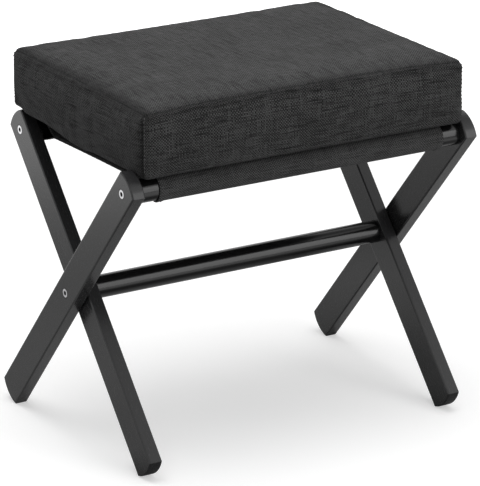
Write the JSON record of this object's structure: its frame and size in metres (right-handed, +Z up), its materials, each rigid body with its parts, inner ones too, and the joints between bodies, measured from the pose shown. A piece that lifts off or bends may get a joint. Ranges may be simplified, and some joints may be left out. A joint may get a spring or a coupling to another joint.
{
  "type": "folding footstool",
  "caption": "Folding footstool: crossed flat timber legs on a screw pivot, round cross rods, a cloth sling and a thick box cushion.",
  "frame": {"origin": "middle of the stool's footprint, on the floor", "axes": "+X runs along the rods to the stool's right, +Y from its front to its rear, +Z up; the front is the side of the rod between the outer legs"},
  "size_m": [0.42, 0.3005, 0.4051],
  "materials": {
    "stained_timber": "satin",
    "lacquered_rod": "satin",
    "screw_steel": "satin",
    "insert_brass": "satin",
    "washer_plastic": "matte",
    "sling_cloth": "matte",
    "grip_strip": "matte",
    "cover_cloth": "matte",
    "foam": "matte"
  },
  "bodies": {
    "outer_frame": {"outer_leg_left": "stained_timber", "outer_leg_right": "stained_timber", "front_rod": "lacquered_rod", "front_screw_left": "screw_steel", "front_screw_right": "screw_steel", "front_insert_left": "insert_brass", "front_insert_right": "insert_brass", "front_sleeve": "sling_cloth", "seat_web": "sling_cloth", "under_web": "sling_cloth"},
    "inner_frame": {"inner_leg_left": "stained_timber", "inner_leg_right": "stained_timber", "rear_rod": "lacquered_rod", "pivot_rod": "lacquered_rod", "rear_screw_left": "screw_steel", "rear_screw_right": "screw_steel", "pivot_screw_left": "screw_steel", "pivot_screw_right": "screw_steel", "rear_insert_left": "insert_brass", "rear_insert_right": "insert_brass", "pivot_insert_left": "insert_brass", "pivot_insert_right": "insert_brass", "pivot_washer_left": "washer_plastic", "pivot_washer_right": "washer_plastic", "rear_sleeve": "sling_cloth"},
    "cushion": {"cushion_cover": "cover_cloth", "foam_core": "foam", "hook_strip": "grip_strip", "loop_strip": "grip_strip"}
  },
  "joints": [
    {"name": "fold", "type": "hinge", "parent": "outer_frame", "child": "inner_frame", "pos_m": [0, 0, 0.1674], "axis": [1, 0, 0], "range_deg": [0, 73], "deforming": ["seat_web", "under_web"]},
    {"name": "cushion_tilt", "type": "hinge", "parent": "outer_frame", "child": "cushion", "pos_m": [0, -0.1266, 0.31176], "axis": [1, 0, 0], "range_deg": [0, 61.5]}
  ],
  "couplings": [
    {"joint": "cushion_tilt", "follows": "fold", "ratio": 0.84}
  ]
}
